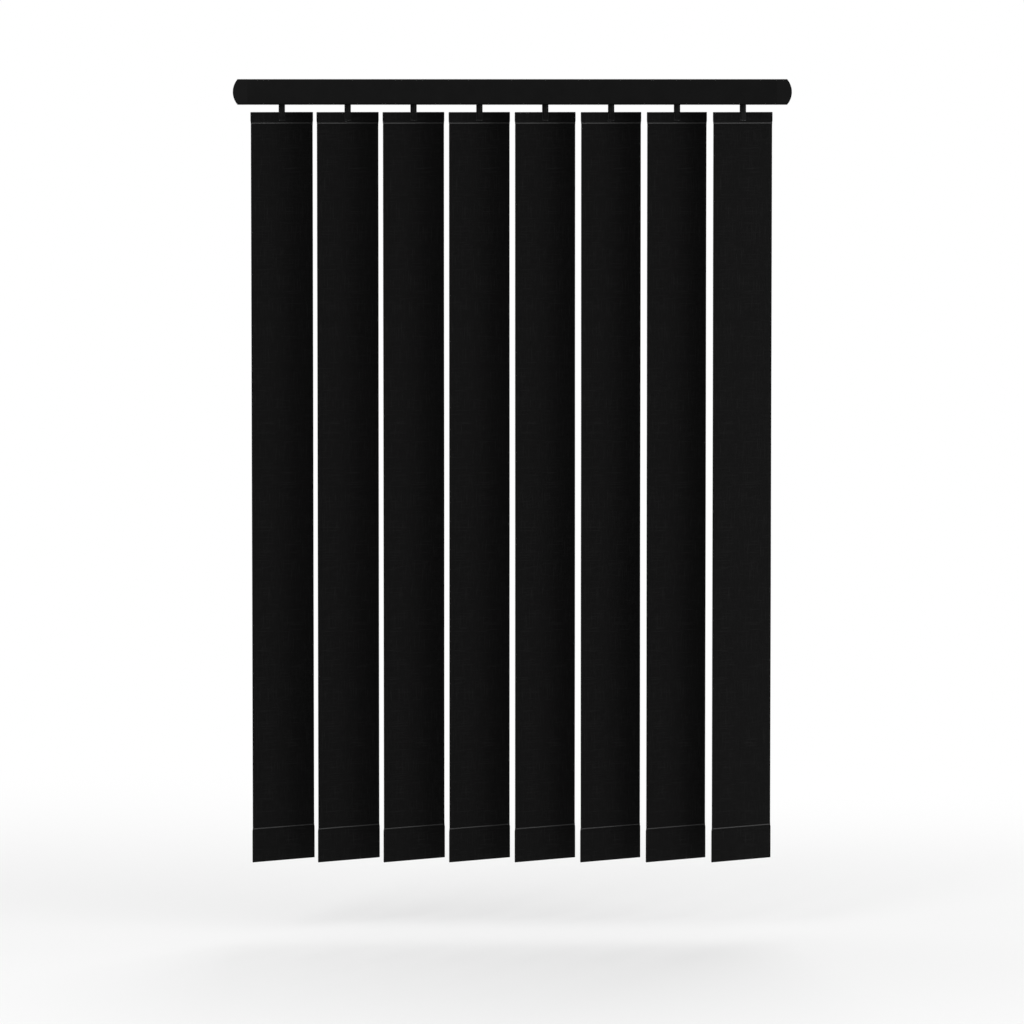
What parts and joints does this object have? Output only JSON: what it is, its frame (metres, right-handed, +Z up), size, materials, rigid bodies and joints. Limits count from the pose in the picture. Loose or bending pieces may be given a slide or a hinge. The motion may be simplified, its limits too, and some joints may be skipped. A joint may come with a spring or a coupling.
{
  "type": "vertical blind",
  "caption": "Vertical blind: fabric louvres hang from geared carriers in a slim headrail, turned by a rod and drawn along to stack at one end.",
  "frame": {"origin": "middle of the four wall screws, on the wall", "axes": "+Z up, +X along the headrail to the control end, +Y into the wall"},
  "size_m": [0.677, 0.0832, 0.9538],
  "materials": {
    "rail": "black satin powder coat",
    "cap": "black moulded",
    "bracket": "zinc plated",
    "spring": "bright spring steel",
    "rod": "drawn, mill finish",
    "gear": "natural acetal",
    "carrier": "dark acetal",
    "hook": "black acetal",
    "hanger": "black moulded",
    "fabric": "black woven polyester",
    "weight": "zinc plated"
  },
  "bodies": {
    "root": {"headrail": "rail", "end_cap_control": "cap", "end_cap_return": "cap", "wall_bracket_left": "bracket", "wall_bracket_right": "bracket", "rail_clip_left": "spring", "rail_clip_right": "spring", "clip_rivets": "spring", "carrier_1": "carrier"},
    "rod": {"tilt_rod": "rod", "chain_wheel": "gear"},
    "pulley": {"return_pulley": "gear"},
    "worm_1": {"worm_1": "gear"},
    "louvre_1": {"hook_1": "hook", "hanger_1": "hanger", "louvre_1": "fabric", "weight_1": "weight"},
    "carrier_2": {"carrier_2": "carrier"},
    "worm_2": {"worm_2": "gear"},
    "louvre_2": {"hook_2": "hook", "hanger_2": "hanger", "louvre_2": "fabric", "weight_2": "weight"},
    "carrier_3": {"carrier_3": "carrier"},
    "worm_3": {"worm_3": "gear"},
    "louvre_3": {"hook_3": "hook", "hanger_3": "hanger", "louvre_3": "fabric", "weight_3": "weight"},
    "carrier_4": {"carrier_4": "carrier"},
    "worm_4": {"worm_4": "gear"},
    "louvre_4": {"hook_4": "hook", "hanger_4": "hanger", "louvre_4": "fabric", "weight_4": "weight"},
    "carrier_5": {"carrier_5": "carrier"},
    "worm_5": {"worm_5": "gear"},
    "louvre_5": {"hook_5": "hook", "hanger_5": "hanger", "louvre_5": "fabric", "weight_5": "weight"},
    "carrier_6": {"carrier_6": "carrier"},
    "worm_6": {"worm_6": "gear"},
    "louvre_6": {"hook_6": "hook", "hanger_6": "hanger", "louvre_6": "fabric", "weight_6": "weight"},
    "carrier_7": {"carrier_7": "carrier"},
    "worm_7": {"worm_7": "gear"},
    "louvre_7": {"hook_7": "hook", "hanger_7": "hanger", "louvre_7": "fabric", "weight_7": "weight"},
    "carrier_8": {"carrier_8": "carrier"},
    "worm_8": {"worm_8": "gear"},
    "louvre_8": {"hook_8": "hook", "hanger_8": "hanger", "louvre_8": "fabric", "weight_8": "weight"}
  },
  "joints": [
    {"name": "draw_8", "type": "slide", "parent": "root", "child": "carrier_8", "axis": [1, 0, 0], "range_m": [0, 0.448]},
    {"name": "draw_2", "type": "slide", "parent": "root", "child": "carrier_2", "axis": [1, 0, 0], "range_m": [0, 0.064]},
    {"name": "draw_3", "type": "slide", "parent": "root", "child": "carrier_3", "axis": [1, 0, 0], "range_m": [0, 0.128]},
    {"name": "draw_4", "type": "slide", "parent": "root", "child": "carrier_4", "axis": [1, 0, 0], "range_m": [0, 0.192]},
    {"name": "draw_5", "type": "slide", "parent": "root", "child": "carrier_5", "axis": [1, 0, 0], "range_m": [0, 0.256]},
    {"name": "draw_6", "type": "slide", "parent": "root", "child": "carrier_6", "axis": [1, 0, 0], "range_m": [0, 0.32]},
    {"name": "draw_7", "type": "slide", "parent": "root", "child": "carrier_7", "axis": [1, 0, 0], "range_m": [0, 0.384]},
    {"name": "turn_1", "type": "hinge", "parent": "root", "child": "louvre_1", "pos_m": [0.28, -0.057, 0], "axis": [0, 0, 1], "range_deg": [-22.7, 133.3]},
    {"name": "worm_turn_1", "type": "hinge", "parent": "root", "child": "worm_1", "pos_m": [0.28, -0.0491, -0.0052], "axis": [1, 0, 0], "range_deg": [-227, 1333]},
    {"name": "turn_2", "type": "hinge", "parent": "carrier_2", "child": "louvre_2", "pos_m": [0.2, -0.057, 0], "axis": [0, 0, 1], "range_deg": [-22.7, 133.3]},
    {"name": "worm_turn_2", "type": "hinge", "parent": "carrier_2", "child": "worm_2", "pos_m": [0.2, -0.0491, -0.0052], "axis": [1, 0, 0], "range_deg": [-227, 1333]},
    {"name": "turn_3", "type": "hinge", "parent": "carrier_3", "child": "louvre_3", "pos_m": [0.12, -0.057, 0], "axis": [0, 0, 1], "range_deg": [-22.7, 133.3]},
    {"name": "worm_turn_3", "type": "hinge", "parent": "carrier_3", "child": "worm_3", "pos_m": [0.12, -0.0491, -0.0052], "axis": [1, 0, 0], "range_deg": [-227, 1333]},
    {"name": "turn_4", "type": "hinge", "parent": "carrier_4", "child": "louvre_4", "pos_m": [0.04, -0.057, 0], "axis": [0, 0, 1], "range_deg": [-22.7, 133.3]},
    {"name": "worm_turn_4", "type": "hinge", "parent": "carrier_4", "child": "worm_4", "pos_m": [0.04, -0.0491, -0.0052], "axis": [1, 0, 0], "range_deg": [-227, 1333]},
    {"name": "turn_5", "type": "hinge", "parent": "carrier_5", "child": "louvre_5", "pos_m": [-0.04, -0.057, 0], "axis": [0, 0, 1], "range_deg": [-22.7, 133.3]},
    {"name": "worm_turn_5", "type": "hinge", "parent": "carrier_5", "child": "worm_5", "pos_m": [-0.04, -0.0491, -0.0052], "axis": [1, 0, 0], "range_deg": [-227, 1333]},
    {"name": "turn_6", "type": "hinge", "parent": "carrier_6", "child": "louvre_6", "pos_m": [-0.12, -0.057, 0], "axis": [0, 0, 1], "range_deg": [-22.7, 133.3]},
    {"name": "worm_turn_6", "type": "hinge", "parent": "carrier_6", "child": "worm_6", "pos_m": [-0.12, -0.0491, -0.0052], "axis": [1, 0, 0], "range_deg": [-227, 1333]},
    {"name": "turn_7", "type": "hinge", "parent": "carrier_7", "child": "louvre_7", "pos_m": [-0.2, -0.057, 0], "axis": [0, 0, 1], "range_deg": [-22.7, 133.3]},
    {"name": "worm_turn_7", "type": "hinge", "parent": "carrier_7", "child": "worm_7", "pos_m": [-0.2, -0.0491, -0.0052], "axis": [1, 0, 0], "range_deg": [-227, 1333]},
    {"name": "turn_8", "type": "hinge", "parent": "carrier_8", "child": "louvre_8", "pos_m": [-0.28, -0.057, 0], "axis": [0, 0, 1], "range_deg": [-22.7, 133.3]},
    {"name": "worm_turn_8", "type": "hinge", "parent": "carrier_8", "child": "worm_8", "pos_m": [-0.28, -0.0491, -0.0052], "axis": [1, 0, 0], "range_deg": [-227, 1333]},
    {"name": "rod_turn", "type": "hinge", "parent": "root", "child": "rod", "pos_m": [0, -0.0491, -0.0052], "axis": [1, 0, 0], "range_deg": [-227, 1333]},
    {"name": "pulley_turn", "type": "hinge", "parent": "root", "child": "pulley", "pos_m": [-0.3274, -0.07025, 0], "axis": [0, 0, 1], "range_deg": [-6050, 10]}
  ],
  "couplings": [
    {"joint": "draw_2", "follows": "draw_8", "ratio": 0.14286},
    {"joint": "draw_3", "follows": "draw_8", "ratio": 0.28571},
    {"joint": "draw_4", "follows": "draw_8", "ratio": 0.42857},
    {"joint": "draw_5", "follows": "draw_8", "ratio": 0.57143},
    {"joint": "draw_6", "follows": "draw_8", "ratio": 0.71429},
    {"joint": "draw_7", "follows": "draw_8", "ratio": 0.85714},
    {"joint": "worm_turn_1", "follows": "turn_1", "ratio": 10},
    {"joint": "turn_2", "follows": "turn_1", "ratio": 1},
    {"joint": "worm_turn_2", "follows": "turn_1", "ratio": 10},
    {"joint": "turn_3", "follows": "turn_1", "ratio": 1},
    {"joint": "worm_turn_3", "follows": "turn_1", "ratio": 10},
    {"joint": "turn_4", "follows": "turn_1", "ratio": 1},
    {"joint": "worm_turn_4", "follows": "turn_1", "ratio": 10},
    {"joint": "turn_5", "follows": "turn_1", "ratio": 1},
    {"joint": "worm_turn_5", "follows": "turn_1", "ratio": 10},
    {"joint": "turn_6", "follows": "turn_1", "ratio": 1},
    {"joint": "worm_turn_6", "follows": "turn_1", "ratio": 10},
    {"joint": "turn_7", "follows": "turn_1", "ratio": 1},
    {"joint": "worm_turn_7", "follows": "turn_1", "ratio": 10},
    {"joint": "turn_8", "follows": "turn_1", "ratio": 1},
    {"joint": "worm_turn_8", "follows": "turn_1", "ratio": 10},
    {"joint": "rod_turn", "follows": "turn_1", "ratio": 10},
    {"joint": "pulley_turn", "follows": "draw_8", "rad_per_m": -235.29}
  ]
}
